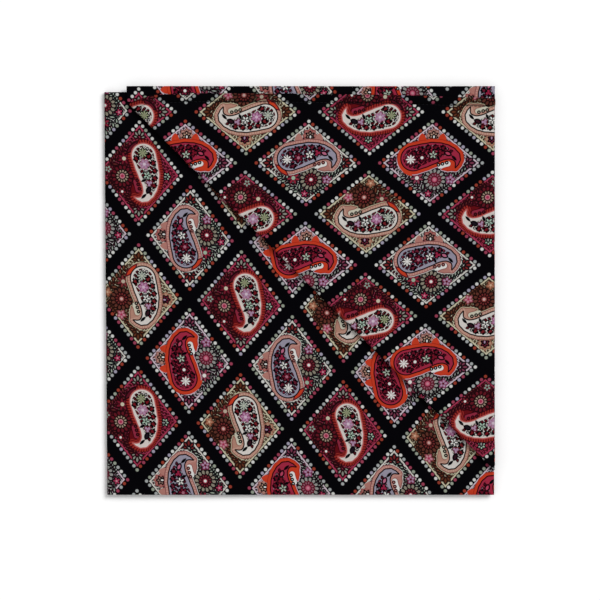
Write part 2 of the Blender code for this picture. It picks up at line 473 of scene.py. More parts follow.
def spots_of(at, spots):
    """Distance to the nearest of some spots."""
    nearest = apart(at, vec(*spots[0]))
    for spot in spots[1:]:
        nearest = least(nearest, apart(at, vec(*spot)))
    return nearest


def spray(at, spot, direction, length, leaves, width):
    """Distance to a spray of leaves: pairs that stand off a stalk, by folding the place
    across the stalk and repeating it along it."""
    c, s = math.cos(math.radians(direction)), math.sin(math.radians(direction))
    rel = vsub(at, vec(*spot))
    u = along(rel, vec(c, s))
    v = abs(along(rel, vec(-s, c)))
    pitch = length / leaves
    k = least(most(rounded(u / pitch - 0.5), 0), leaves - 1)
    return leaf(vector(u - k * pitch, v), (0.0, 0.0), (pitch * 0.9, pitch * 1.15), width)


def cells(at, size):
    """How far the middle of the nearest of many cells is, and the cell's random number. The
    cells lie in rows half a cell off each other, and cosines bend the rows."""
    x, y = parts(at)
    u = times_plus(cosine(y * 0.45), 0.9 / size, x / size)
    v = times_plus(cosine(x * 0.52), 0.8 / size, y / size)
    row = floored(v)
    u = times_plus(row, 0.5, u)
    column = floored(u)
    r = apart(vector(u - column, v - row), vec(0.5, 0.5)) * size
    return r, hashed(vector(column, row))


def scattered(colour, at, size, radius, line, inks, mask):
    """Small lumpy blooms scattered over the ground, each in one of three inks."""
    r, chance = cells(at, size)
    x, y = parts(at)
    lumps = cosine(x * 3.1) * cosine(y * 3.1)
    shape = r - times_plus(lumps, radius * 0.3, radius)
    colour = paint(colour, line, below(shape, 0.75, 0.4) * mask)
    blooms = paint(inks[0], inks[1], above(chance, 0.4, 0.01))
    blooms = paint(blooms, inks[2], above(chance, 0.72, 0.01))
    colour = paint(colour, blooms, below(shape, -0.3, 0.4) * mask)
    return paint(colour, line, below(r, radius * 0.36, 0.4) * mask)


class Lozenge:
    """The lozenge that a place lies in.

    local is the place from the lozenge's middle, and place the same, turned half round in
    every second lozenge, with its x and y. odd is 1 in those, way says which colourway it is,
    and cell which lozenge. folded is the place without its signs, and spread grows from 0 in
    the middle to 1 on the coloured ground's edge.
    """

    def __init__(self, at):
        x, y = parts(at)
        m = times_plus(x, 0.5 / CELL_X, y * (-0.5 / CELL_Y))
        n = times_plus(x, -0.5 / CELL_X, y * (-0.5 / CELL_Y))
        i, j = rounded(m), rounded(n)
        self.local = vsub(at, vector((i - j) * CELL_X, (i + j) * -CELL_Y))
        self.odd = wrapped(i + j, 2)
        self.way = times_plus(wrapped(j, 2), 0.5, times_plus(wrapped(i, 2), 0.25, 0.125))
        self.cell = vector(i, j)
        self.place = scaled(self.local, 1 - self.odd * 2)
        self.x, self.y = parts(self.place)
        self.folded = vabs(self.local)
        across, up = parts(self.folded)
        ground_x, ground_y = DOTS_X * GROUND_SHARE, DOTS_Y * GROUND_SHARE
        self.spread = times_plus(across, 1 / ground_x, up * (1 / ground_y))

    def pick(self, *inks):
        """The ink of the lozenge's colourway."""
        return steps(self.way, *zip(WAY_STARTS, inks))

    def pick_number(self, *numbers):
        """The number, from 0 to 10, of the lozenge's colourway, kept in a ramp's alpha."""
        stops = [(start, (0.0, 0.0, 0.0, n / 10)) for start, n in zip(WAY_STARTS, numbers)]
        ramp = self.way.node("ShaderNodeValToRGB", {0: self.way}, "Alpha", stops=stops)
        return ramp * 10.0


def filled_ground(here):
    """The bare ground, small blooms scattered over it, and smaller ones between them."""
    line = here.pick(*FILLER_LINE)
    mid = here.pick((108, 22, 36), (132, 148, 136), (140, 60, 84), (146, 88, 66))
    more = here.pick((128, 38, 40), (140, 46, 66), (140, 152, 142), (184, 162, 124))
    last = here.pick((150, 110, 104), WHITE, WHITE, (104, 44, 44))
    inner = below(here.spread, 0.955, 0.03)
    middle = inner * below(abs(here.y), 31.0, 3.0) * below(here.x, 23.0, 3.0)
    colour = here.pick(*GROUND)
    colour = scattered(colour, here.place, 4.7, 1.5, line, (mid, more, last), middle)
    moved = vadd(here.place, vec(31.0, 17.0))
    return scattered(colour, moved, 3.3, 0.8, line, (more, mid, more), inner)


def sprays(colour, here):
    """Sprays of leaves above the rosette, at the paisley's tip, and below the rosette."""
    line = here.pick(*FILLER_LINE)
    green = here.pick((110, 44, 44), (176, 188, 172), (164, 172, 164), (128, 72, 52))
    for spot, direction, length, width in SPRAYS:
        shape = spray(here.place, spot, direction, length, 5, width)
        colour = outlined(colour, shape, green, line, 1.2)
    return colour


def rosette(colour, here):
    """The rosette on the paisley's hollow side: two rounds of petals and a middle."""
    shape, r, wave = flower(here.place, ROSETTE, 11.4, 14, 0.14)
    petal = here.pick((104, 24, 36), (150, 142, 126), (158, 156, 152), (104, 54, 44))
    line = here.pick((30, 6, 12), (20, 16, 20), (18, 12, 18), (28, 12, 10))
    colour = outlined(colour, shape, petal, line, 1.2)
    colour = paint(colour, line, below(wave, -0.45, 0.6) * below(shape, 0))

    shape, r, wave = flower(here.place, ROSETTE, 6.8, 12, 0.14, 1.6)
    petal = here.pick((172, 150, 130), (120, 40, 50), (150, 92, 108), (120, 44, 44))
    line = here.pick((20, 8, 10), (34, 8, 16), (96, 14, 34), (26, 10, 10))
    colour = outlined(colour, shape, petal, line, 1.2)
    colour = paint(colour, line, below(wave, -0.2, 0.6) * below(shape, 0))

    middle = here.pick((206, 128, 140), (150, 40, 60), (190, 80, 110), (150, 70, 66))
    colour = outlined(colour, r - 3.2, middle, line, 0.9)
    return paint(colour, here.pick(ROSE, WHITE, PALE_ROSE, (214, 176, 170)), below(r, 1.5))


def flowers_outside(colour, here):
    """Flowers round the rosette: above it, by the paisley's tip, and in the left corner."""
    colour = bloom(
        colour, here.place, (-15.2, 13.6), 6.8, 7,
        here.pick((120, 26, 44), (150, 42, 62), (150, 70, 90), (130, 52, 56)),
        here.pick(*FILLER_LINE), depth=0.5, turn=0.4,
        core=here.pick(CREAM, PALE_GREEN, WHITE, (196, 180, 160)), core_radius=1.9,
    )
    colour = bloom(
        colour, here.place, (-16.8, -19.6), 4.6, 5,
        here.pick((120, 34, 44), LILAC, LILAC, (206, 140, 156)),
        here.pick(DARK, (120, 40, 70), (140, 60, 100), (150, 70, 80)), depth=0.4, turn=0.8,
        core=here.pick(WHITE, MAROON, MAROON, ROSE), core_radius=1.2,
    )
    return bloom(
        colour, here.place, (-31.0, 2.0), 4.0, 5,
        here.pick((150, 170, 158), ROSE, ROSE, TAN),
        here.pick(MAROON, DARK, DARK, (150, 90, 66)), depth=0.4, turn=0.2,
        core=here.pick(MAROON, PALE_ROSE, PALE_ROSE, (220, 180, 150)), core_radius=1.1,
    )


def palmettes(colour, here):
    """A fan of five lobes in the top corner and in the bottom one."""
    place = vector(abs(here.x), abs(here.y))
    line = here.pick(*FILLER_LINE)
    body = here.pick((150, 150, 140), (130, 40, 40), (130, 60, 84), (104, 54, 34))
    for foot, tip, width in LOBES:
        colour = outlined(colour, leaf(place, foot, tip, width), body, line, 1.1)
    return colour


def crown(colour, here):
    """A flower in the right corner on a larger one, with a drop in it and, in every second
    lozenge, two ears in the ring's ink that lead to it."""
    body = here.pick((150, 44, 68), (176, 112, 104), (188, 140, 128), (188, 146, 122))
    line = here.pick((70, 10, 24), (150, 76, 76), (140, 90, 84), (160, 104, 84))
    colour = bloom(colour, here.place, CROWN, 7.0, 8, body, line, depth=0.2, width=0.9)
    ears = leaf(vector(here.x, abs(here.y + 0.6)), (16.0, 9.5), (30.0, 10.4), 8.0)
    colour = paint(colour, here.pick(*RING), below(ears, 0) * here.odd)
    colour = bloom(
        colour, here.place, CROWN, 4.3, 6,
        here.pick((176, 196, 176), (150, 120, 110), (190, 150, 130), (110, 30, 50)),
        depth=0.35, width=1.3, core=here.pick(BLACK, BLACK, BLACK, WHITE), core_radius=1.3,
    )
    drop = leaf(here.place, (24.0, -2.0), (28.6, -2.0), 3.0)
    return outlined(colour, drop, here.pick((150, 150, 150), WHITE, WHITE, LILAC), BLACK, 1.1)


def ring_beads(here, body):
    """A mask of the beads on the ring: even steps of a length that runs round it, from the top
    down both sides, as an angle round the fat end and then the height below it."""
    x, y = parts(vsub(here.place, vec(8.0, 0.0)))
    low = share(y, -18.0, 16.5) * 34.5 - 18.0
    run = times_plus(abs(atan2(x, y - low)), 15.0, 16.5 - low)
    beads = abs(wrapped(run, 2.5) - 1.25)
    band = abs(body - 1.9) - here.pick_number(1.7, 0.9, 0.0, 0.9)
    return below(beads, 0.66, 0.4) * below(band, 0, 0.4)


def ring(colour, here, body, shape):
    """The ring round the paisley with its rim and beads, and the flame over its fat end."""
    colour = paint(colour, here.pick(*RING), below(shape, 0))
    rim = here.pick((40, 4, 8), (140, 84, 84), (180, 46, 26), (146, 92, 84))
    colour = paint(colour, rim, below(abs(shape + 0.1), 0.4, 0.3))
    bead = here.pick((162, 48, 40), (206, 156, 146), (208, 64, 38), (208, 166, 150))
    colour = paint(colour, bead, ring_beads(here, body))
    flame = leaf(here.place, (-12.6, 19.0), (-1.8, 31.6), 4.6)
    flame_ink = here.pick(MAROON, ORANGE, ORANGE, ORANGE)
    return outlined(colour, flame, flame_ink, here.pick(DARK, MAROON, ORANGE, MAROON), 1.0)


def paisley_body(colour, here, body, hollow):
    """The paisley's outline and inside, and the bare hollow by its hook with a row of beads."""
    outline = here.pick((196, 96, 92), BLACK, (40, 6, 14), BLACK)
    colour = paint(colour, outline, below(body, 0.6))
    inside = here.pick((228, 218, 212), (162, 156, 174), (170, 44, 70), (228, 222, 216))
    colour = paint(colour, inside, below(body, -0.6))
    bare = here.pick((150, 44, 66), WHITE, WHITE, (214, 210, 190))
    colour = paint(colour, bare, below(hollow, 0, 0.4))
    beads = spots_of(here.place, HOLLOW_BEADS)
    bead = here.pick((120, 30, 40), (206, 150, 140), WHITE, CREAM)
    line = here.pick((40, 6, 14), (70, 16, 24), BLACK, BLACK)
    return outlined(colour, beads - 1.2, bead, line, 1.1)


def petals_inside(colour, here, body):
    """Scattered petals inside the paisley, and hearts down its right side."""
    petal = here.pick(*PETAL)
    last = here.pick(WHITE, (176, 60, 90), (190, 120, 140), WHITE)
    well_in = below(body, -2.4, 0.4) * above(times_plus(here.y, 0.45, here.x), 1.2, 0.5)
    moved = vadd(here.place, vec(11.0, 47.0))
    colour = scattered(colour, moved, 4.3, 1.3, BLACK, (petal, petal, last), well_in)
    lumps = cosine(here.x * 1.7) * cosine(here.y * 1.7)
    hearts = spots_of(here.place, HEARTS) - times_plus(lumps, 0.7, 2.3)
    return outlined(colour, hearts, petal, BLACK, 1.2)


def flowers_inside(colour, here):
    """Four flowers down the middle of the paisley, and leaves down to its tip."""
    colour = bloom(
        colour, here.place, (3.4, 20.4), 5.4, 8,
        here.pick((160, 168, 132), WHITE, WHITE, (190, 198, 186)),
        here.pick(BLACK, (60, 30, 40), (110, 30, 50), BLACK), depth=0.45,
        core=here.pick((150, 150, 120), WHITE, WHITE, (190, 196, 180)), core_radius=1.2,
    )
    colour = bloom(
        colour, here.place, (5.2, 9.2), 5.2, 6,
        here.pick(LILAC, (110, 22, 44), (96, 16, 36), (190, 140, 176)),
        here.pick((170, 112, 140), BLACK, BLACK, (150, 84, 120)), depth=0.3, turn=0.5,
        core=here.pick((220, 200, 214), (176, 110, 130), WHITE, (220, 190, 210)),
        core_radius=1.5,
    )
    colour = bloom(
        colour, here.place, (8.2, -1.8), 4.7, 5,
        here.pick((180, 204, 186), WHITE, (186, 196, 180), WHITE),
        depth=0.6, turn=0.2, width=1.4, core=LEAF, core_radius=0.9,
    )
    colour = bloom(
        colour, here.place, (10.2, -9.6), 3.6, 3,
        here.pick(LILAC, (160, 36, 70), (120, 20, 40), LILAC),
        here.pick(MAROON, BLACK, BLACK, MAROON), depth=0.35, turn=-1.57, width=0.9,
    )
    shape = leaf(here.place, (2.2, -8.4), (7.6, -5.6), 2.4)
    colour = paint(colour, BLACK, below(shape, 0.2))
    shape = leaf(here.place, (11.0, -13.2), (8.2, -19.6), 4.0)
    body = here.pick((30, 20, 30), (196, 110, 140), (190, 70, 100), (50, 20, 30))
    colour = outlined(colour, shape, body, BLACK, 1.2)
    shape = leaf(here.place, (7.6, -20.2), (2.4, -25.4), 2.6)
    return paint(colour, BLACK, below(shape, 0.1))


def dots(colour, here):
    """Black round the ground, with a line of dots along its edge, each in an ink by chance."""
    edge = math.hypot(DOTS_X, DOTS_Y)
    step = vec(-DOTS_X / DOT_STEPS, DOTS_Y / DOT_STEPS)
    counting = vec(-DOTS_X * DOT_STEPS / edge**2, DOTS_Y * DOT_STEPS / edge**2)
    k = rounded(along(vsub(here.folded, vec(DOTS_X, 0)), counting))
    k = least(most(k, 0), DOT_STEPS)
    dot_at = vadd(scaled(step, k), vec(DOTS_X, 0))
    r = apart(here.folded, dot_at)
    own_place = vadd(vmul(dot_at, vsign(here.local)), vec(0.5, 0.5))
    chance = hashed(vadd(own_place, vmul(here.cell, vec(200, 200))))
    colour = paint(BLACK, colour, below(here.spread, 1, 0.01))
    colour = paint(colour, BLACK, below(r, 2.35, 0.4))
    return paint(colour, steps(chance, *DOT_INKS), below(r, 1.62, 0.7))


def print_colour(at):
    """The print's colour at a place: each motif in turn over those before it."""
    here = Lozenge(at)
    colour = filled_ground(here)
    for motif in (sprays, rosette, flowers_outside, palmettes):
        colour = motif(colour, here)

    body = chain(here.place, PAISLEY)
    hollow = capsule(here.place, *HOLLOW)
    ring_shape = soft_least(body - RING_WIDTH, chain(here.place, HOOK), 1.5)
    ring_shape = most(ring_shape, 0.2 - hollow)
    margin = here.pick((70, 8, 20), (222, 216, 210), (222, 196, 212), (204, 196, 164))
    bare = below(ring_shape, 0.9, 0.4) * below(here.spread, 0.98, 0.03)
    colour = paint(colour, margin, bare * below(here.x, 4.0, 6.0))

    colour = crown(colour, here)
    colour = ring(colour, here, body, ring_shape)
    colour = paisley_body(colour, here, body, hollow)
    colour = petals_inside(colour, here, body)
    colour = flowers_inside(colour, here)
    return dots(colour, here)


# ------------ materials
def new_material(name, roughness, specular, sheen):
    """A material and its shader."""
    material = bpy.data.materials.new(name)
    material.use_nodes = True
    shader = material.node_tree.nodes["Principled BSDF"]
    shader.inputs["Roughness"].default_value = roughness
    shader.inputs["Specular IOR Level"].default_value = specular
    shader.inputs["Sheen Weight"].default_value = sheen
    shader.inputs["Sheen Roughness"].default_value = 0.4
    return material, shader


def feed(field, shader, socket):
    field.tree.links.new(field.socket, shader.inputs[socket])


def print_group():
    """The print as a group of nodes: a place on the flat cloth in, its colour out."""
    group = bpy.data.node_groups.new("print", "ShaderNodeTree")
    group.interface.new_socket("Place", in_out="INPUT", socket_type="NodeSocketVector")
    group.interface.new_socket("Colour", in_out="OUTPUT", socket_type="NodeSocketColor")
    colour = print_colour(add_node(group, "NodeGroupInput", output="Place"))
    colour.node("NodeGroupOutput", {"Colour": colour}, output=None)
    return group


def own_attribute(tree, name, output):
    return add_node(tree, "ShaderNodeAttribute", output=output, attribute_name=name)


def object_place(tree):
    return add_node(tree, "ShaderNodeTexCoord", output="Object")


def noise(at, size):
    inputs = {"Vector": at, "Scale": 1 / size, "Detail": 2.0}
    return at.node("ShaderNodeTexNoise", inputs, "Fac", noise_dimensions="3D")


def bumped(height, strength, distance):
    inputs = {"Height": height, "Strength": strength, "Distance": distance}
    return height.node("ShaderNodeBump", inputs, "Normal")


def grey(amount):
    return amount.node("ShaderNodeCombineColor", {0: amount, 1: amount, 2: amount})


def darkened(colour, amount):
    """A colour with all three of its parts times an amount."""
    inputs = {"Factor": 1.0, 6: colour, 7: grey(amount)}
    return colour.node("ShaderNodeMix", inputs, 2, data_type="RGBA", blend_type="MULTIPLY")


def cotton(name, group, shade):
    """Plain-weave cotton with the print, darkened by shade and by the points' painted crease shade.

    Noise drawn out along each set of threads makes them thick and thin. The bump is the weave:
    the product of a cosine across and a cosine up, so crowns and dips lie like a chessboard.
    """
    material, shader = new_material(name, roughness=0.85, specular=0.03, sheen=0.004)
    tree = material.node_tree
    at = own_attribute(tree, "print_place", "Vector")
    printed_ink = at.node("ShaderNodeGroup", {"Place": at}, "Colour", node_tree=group)

    fine, drawn_out = 2.2, 0.16
    level = noise(vmul(at, (drawn_out, fine, 1.0)), 1.0)
    upright = noise(vmul(at, (fine, drawn_out, 1.0)), 1.0)
    slubs = times_plus(level + upright, 0.35, 0.65)
    # Painted shade: the points' painted crease shade lowers the shade factor, which for the hem is
    # itself painted shade.
    light = times_plus(own_attribute(tree, "painted_crease_shade", "Fac"), -shade, shade)
    dye_and_painted_shade = times_plus(noise(at, 26.0), 0.16, 0.92) * slubs * light
    feed(darkened(printed_ink, dye_and_painted_shade), shader, "Base Color")

    x, y = parts(at)
    pitch = 0.62
    u = cosine(x * (math.pi / pitch))
    v = cosine(y * (math.pi / pitch))
    feed(bumped(times_plus(u * v, 0.5, slubs), 0.35, 0.08 * MM), shader, "Normal")
    return material


def thread_material():
    """Black sewing thread, with its twist as slanted ridges: a sine of x plus y."""
    material, shader = new_material("sewing_thread", roughness=0.6, specular=0.08, sheen=0.01)
    x, y = parts(object_place(material.node_tree))
    pitch = 0.25 * MM
    twist = sine((x + y) * (2 * math.pi / pitch))
    # The twist's crests are painted lighter than its hollows: a painted highlight on the ridges.
    feed(paint((4, 4, 6), (19, 18, 23), share(twist, -1.5, 1.0)), shader, "Base Color")
    feed(bumped(twist, 0.4, 0.04 * MM), shader, "Normal")
    return material


# ------------ grids and shells
def ripple(x, y):
    """Height of the soft waves in the lying cloth: a sum of sines across the square."""
    return sum(
        height * np.sin(2 * np.pi * (x / wave_x + y / wave_y) + phase)
        for height, wave_x, wave_y, phase in RIPPLES
    )


def unit(vectors):
    return vectors / np.linalg.norm(vectors, axis=-1, keepdims=True)


def fold_point(x, depth=0.0):
    """Point (x, y) on the fold line, moved depth towards the upper right."""
    shift = depth / np.sqrt(2)
    return np.stack([x + shift, FOLD_SUM - x + shift], axis=-1)


def flap_edge_y(x):
    """The y of the flap's top edge at x, straight from each point of its table to the next."""
    table = np.array(FLAP_EDGE_MM) * MM
    return np.interp(x, table[:, 0], table[:, 1])


def perimeter(rows, columns):
    """Indices of a grid's border points, once round."""
    index = np.arange(rows * columns).reshape(rows, columns)
    return np.concatenate([index[:-1, 0], index[-1, :-1], index[:0:-1, -1], index[0, :0:-1]])


def outward(grid):
    """For each border point of a grid, the unit direction that leaves the grid there."""
    away = np.zeros_like(grid)
    away[0] += unit(grid[0] - grid[1])
    away[-1] += unit(grid[-1] - grid[-2])
    away[:, 0] += unit(grid[:, 0] - grid[:, 1])
    away[:, -1] += unit(grid[:, -1] - grid[:, -2])
    return unit(away.reshape(-1, 3)[perimeter(*grid.shape[:2])])


def closed_faces(rows, columns, rims):
    """Quads of a closed shell: an upper grid, a lower grid, and rims loops between them."""
    index = np.arange(rows * columns).reshape(rows, columns)
    upper = np.stack([index[:-1, :-1], index[1:, :-1], index[1:, 1:], index[:-1, 1:]], axis=-1)
    lower = upper[..., ::-1] + rows * columns
    border = perimeter(rows, columns)
    rim_loops = 2 * rows * columns + np.arange(rims * len(border)).reshape(rims, -1)
    loops = [border, *rim_loops, border + rows * columns]
    strips = [
        np.stack([a, b, np.roll(b, -1), np.roll(a, -1)], axis=-1)
        for a, b in zip(loops[:-1], loops[1:])
    ]
    return np.concatenate([upper.reshape(-1, 4), lower.reshape(-1, 4), *strips])


def add_piece(name, points, faces, material):
    """A smooth piece of the cloth from its points and faces, in its material's slot."""
    mesh = bpy.data.meshes.new(name)
    mesh.from_pydata(points.tolist(), [], faces)
    mesh.update()
    mesh.shade_smooth()
    mesh.materials.append(material)
    piece = bpy.data.objects.new(name, mesh)
    bpy.context.scene.collection.objects.link(piece)
    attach(piece, "root")
    return piece


def add_attribute(piece, name, kind, field, values):
    layer = piece.data.attributes.new(name, kind, "POINT")
    layer.data.foreach_set(field, np.ascontiguousarray(values, np.float32).ravel())


def thickened(name, middle, place, material, thickness=THICKNESS, dark=None):
    """A closed shell round a grid: half the thickness to each side along the grid's normals
    (the cross product of its row and column directions), and a half-round edge."""
    normal = unit(np.cross(np.gradient(middle, axis=0), np.gradient(middle, axis=1)))
    rise = normal * np.broadcast_to(thickness, middle.shape[:2])[..., None] / 2
    border = perimeter(*middle.shape[:2])
    edge = middle.reshape(-1, 3)[border]
    edge_rise = rise.reshape(-1, 3)[border]
    edge_away = outward(middle) * np.linalg.norm(edge_rise, axis=-1, keepdims=True)
    angles = np.linspace(np.pi / 2, -np.pi / 2, RIM_SEGMENTS + 1)[1:-1]
    rims = [edge + edge_rise * np.sin(a) + edge_away * np.cos(a) for a in angles]
    points = np.concatenate([(middle + rise).reshape(-1, 3), (middle - rise).reshape(-1, 3), *rims])
    faces = closed_faces(*middle.shape[:2], len(rims)).tolist()
    piece = add_piece(name, points, faces, material)

    def on_shell(values):
        """Values of the grid's points, for each point of the shell."""
        values = values.reshape(len(rise.reshape(-1, 3)), -1)
        return np.concatenate([values, values, *[values[border]] * len(rims)])

    flat = np.concatenate([place, np.zeros_like(place[..., :1])], axis=-1)
    add_attribute(piece, "print_place", "FLOAT_VECTOR", "vector", on_shell(flat))
    # Painted crease shade, where given, for the material to darken the print with.
    if dark is not None:
        add_attribute(piece, "painted_crease_shade", "FLOAT", "value", on_shell(dark))
    return piece


# ------------ where the print lies
# For each ply, in the photograph's pixels: the middle of one lozenge and the steps to its two
# next ones. The flap's are turned by a quarter.
LOWER_PRINT = ((139, 173), (51, 65), (-51.8, 58))
UPPER_PRINT = ((138.4, 140), (51, 65), (-51.8, 58))
FLAP_PRINT = ((371, 112), (-63.5, 51), (-60, -51))


def print_on(plan, middle, first, second):
    """Print place of points in the plane: a point's offset from the middle of a lozenge is m
    times the first step plus n times the second, and m and n then count lozenges in the print."""
    picture = np.stack([plan[..., 0] / UNIT + PICTURE_X, PICTURE_Y - plan[..., 1] / UNIT], axis=-1)
    both = np.array([first, second], float).T
    m, n = np.moveaxis((picture - np.array(middle)) @ np.linalg.inv(both).T, -1, 0)
    return np.stack([(m - n) * CELL_X, (m + n) * -CELL_Y], axis=-1)


# ------------ the cloth
def on_ripple(plan, height):
    """Points of a plan at a height, plus the ripple there."""
    z = height + ripple(plan[..., 0], plan[..., 1])
    return np.concatenate([plan, z[..., None]], axis=-1)


def between(start, end, count):
    """A grid of rows that each run straight from their point in start to their point in end."""
    across = np.linspace(0, 1, count)[None, :, None]
    return start[:, None] * (1 - across) + end[:, None] * across


def spaced(start, end):
    """Shares from 0 to 1, a mesh step apart over a length."""
    return np.linspace(0, 1, int(math.ceil(abs(end - start) / MESH_STEP)) + 1)


def lower_cloth(material):
    """The lower ply, round its fold on the left, and back as the bottom ply.

    Each row of the grid runs down the cloth. The rows go from the right to the fold, round a
    half circle and back to the right, and their places on the flat cloth run on evenly.
    """
    radius = (LOWER_TOP_Z - THICKNESS) / 2
    up = spaced(BOTTOM, LOWER_TOP)[::-1]
    y = BOTTOM + THICKNESS / 2 + (LOWER_TOP - BOTTOM - THICKNESS) * up
    left = LOWER_LEFT_BOTTOM + (LOWER_LEFT_TOP - LOWER_LEFT_BOTTOM) * up + THICKNESS / 2
    axis = left + radius
    right = LOWER_RIGHT - THICKNESS / 2
    run = spaced(LOWER_LEFT_TOP, right)[:, None]
    bend = np.linspace(0, np.pi, ROLL_SEGMENTS + 1)[1:-1, None]
    upper_x = right + (axis - right) * run
    lower_x = upper_x[::-1]
    x = np.concatenate([upper_x, axis - radius * np.sin(bend), lower_x])
    lower_flat = axis - radius * np.pi - (lower_x - axis)
    flat_x = np.concatenate([upper_x, axis - radius * bend, lower_flat])
    height = [np.full_like(run, 2 * radius), radius + radius * np.cos(bend), np.zeros_like(run)]
    z = np.concatenate(height) * np.ones_like(y)
    y = np.broadcast_to(y, x.shape)
    wave = ripple(x, y) * z / (2 * radius)
    middle = np.stack([x, y, z + THICKNESS / 2 + wave], axis=-1)
    place = print_on(np.stack([flat_x, y], axis=-1), *LOWER_PRINT)
    return thickened("lower_cloth", middle, place, material)


def inner_cloth(material):
    """The plies inside the lower one's fold, as one flat sheet on half the ripple, seen only at
    the edges."""
    x = np.linspace(INNER_LEFT, INNER_RIGHT, len(spaced(-RIGHT, RIGHT)))
    y = np.linspace(INNER_BOTTOM, INNER_TOP, len(spaced(BOTTOM, TOP)))
    plan = np.stack(np.meshgrid(x, y, indexing="ij"), axis=-1)
    z = INNER_Z + ripple(plan[..., 0], plan[..., 1]) / 2
    middle = np.concatenate([plan, z[..., None]], axis=-1)
    return thickened("inner_cloth", middle, print_on(plan, *LOWER_PRINT), material)


def half_count():
    """Steps along half of the diagonal fold."""
    return len(spaced(-RIGHT, RIGHT)) // 2


def upper_plan(inset):
    """Plan of an upper ply: rows that start a little inside the diagonal fold and end, the
    first half of them on the top edge and the rest on the right one."""
    half = np.linspace(0, 1, half_count() + 1)[:, None]
    run = np.linspace(0, 1, 2 * half_count() + 1)
    edge = THICKNESS / 2 + inset
    left, right, top = UPPER_LEFT + edge, RIGHT - edge, TOP - edge
    near = fold_point(FOLD_START_X + (right - FOLD_START_X) * run, UPPER_START)
    near[:, 0] = np.minimum(near[:, 0], right)
    near[0] = (left, TOP - UPPER_TIP_DROP)
    start, corner = np.array((left, top)), np.array((right, top))
    end = np.array((right, near[-1, 1] + UPPER_END_DROP))
    along_top = (start * (1 - half) + corner * half)[:-1]
    down_right = corner * (1 - half) + end * half
    return between(near, np.concatenate([along_top, down_right]), 60)


def upper_cloth(material):
    """The ply that shows along the top edge, and the one under it."""
    plan = upper_plan(0.0)
    middle = on_ripple(plan, UPPER_TOP_Z - THICKNESS / 2)
    top = thickened("upper_cloth", middle, print_on(plan, *UPPER_PRINT), material)
    plan = upper_plan(SECOND_INSET)
    middle = on_ripple(plan, UPPER_BOTTOM_Z + THICKNESS / 2)
    second = thickened("second_cloth", middle, print_on(plan, *UPPER_PRINT), material)
    return top, second


def flap_lines(half):
    """Near and far ends in plan of the flap's rows: on the fold, and on the hem, as many again
    on the right edge."""
    right = FLAP_RIGHT - THICKNESS / 2
    start_x = FOLD_START_X + HEM_START + 1.0 * MM
    near = fold_point(start_x + (right - start_x) * np.linspace(0, 1, 2 * half + 1))
    hem_x = np.linspace(start_x + 1.0 * MM, right, half + 1)
    hem = np.stack([hem_x, flap_edge_y(hem_x) - HEM_WIDTH + HEM_LAP], -1)
    down_y = np.linspace(hem[-1, 1], near[-1, 1] + UPPER_END_DROP, half + 1)
    down = np.stack([np.full_like(down_y, right), down_y], -1)
    return near, np.concatenate([hem[:-1], down])


def flap_cloth(material):
    """The turned-over corner: a panel, its roll along the diagonal fold, and a lip under it.

    A row is given by the distance in from the fold line and the height: the panel comes in
    from the far edge, rising by the loft times a bell curve of the distance, the roll is a half
    circle, and the lip goes back in. The place on the flat cloth runs on evenly round the roll.
    Along the hem the panel dips by another bell curve, of the distance from the hem.
    """
    near, far = flap_lines(half_count() + 30)
    reach = np.linalg.norm(far - near, axis=-1)[:, None]
    away = unit(far - near)[:, None]
    low, high = UPPER_BOTTOM_Z + THICKNESS / 2, FLAP_TOP_Z + FOLD_LOFT - THICKNESS / 2
    radius = (high - low) / 2
    turn = radius + THICKNESS / 2
    closer_to_fold = np.linspace(1, 0, 90) ** 1.6
    panel_in = turn + (reach - turn).clip(0.3 * MM) * closer_to_fold
    loft = FOLD_LOFT * np.exp(-(((panel_in - turn) / FOLD_REACH) ** 2))
    bend = np.linspace(0, np.pi, ROLL_SEGMENTS + 3)[1:]
    lip = np.linspace(0, LIP, 4)[1:]

    def rows(panel, roll, lip_part):
        same = np.ones_like(reach)
        return np.concatenate([panel, roll * same, lip_part * same], axis=1)

    inwards = rows(panel_in, turn - radius * np.sin(bend), turn + lip)
    flat = rows(panel_in, turn - radius * bend, turn - radius * np.pi - lip)
    panel_z = FLAP_TOP_Z - THICKNESS / 2 + loft
    height = rows(panel_z, low + radius + radius * np.cos(bend), np.full_like(lip, low))

    plan = near[:, None] + away * inwards[..., None]
    flat_plan = near[:, None] + away * flat[..., None]
    middle = on_ripple(plan, 0.0)
    hem_gap = flap_edge_y(plan[..., 0]) - HEM_WIDTH - plan[..., 1]
    middle[..., 2] += height - HEM_DIP * np.exp(-((hem_gap / HEM_DIP_REACH) ** 2))
    place = print_on(flat_plan, *FLAP_PRINT)
    return thickened("flap_cloth", middle[:, ::-1], place[:, ::-1], material)


def flap_lining(material):
    """The flap's own lower ply, seen only at its edges."""
    near, far = flap_lines(60)
    away = unit(far - near)
    plan = between(near + away * LINING_START, far - away * LINING_INSET, 50)
    middle = on_ripple(plan, FLAP_BOTTOM_Z + THICKNESS / 2)
    return thickened("flap_lining", middle, print_on(plan, *FLAP_PRINT), material)


# ------------ the hem
def near_edge(amount, width):
    """1 at no amount, easing to 0 at width."""
    return np.clip(1 - amount / width, 0, 1) ** 0.7


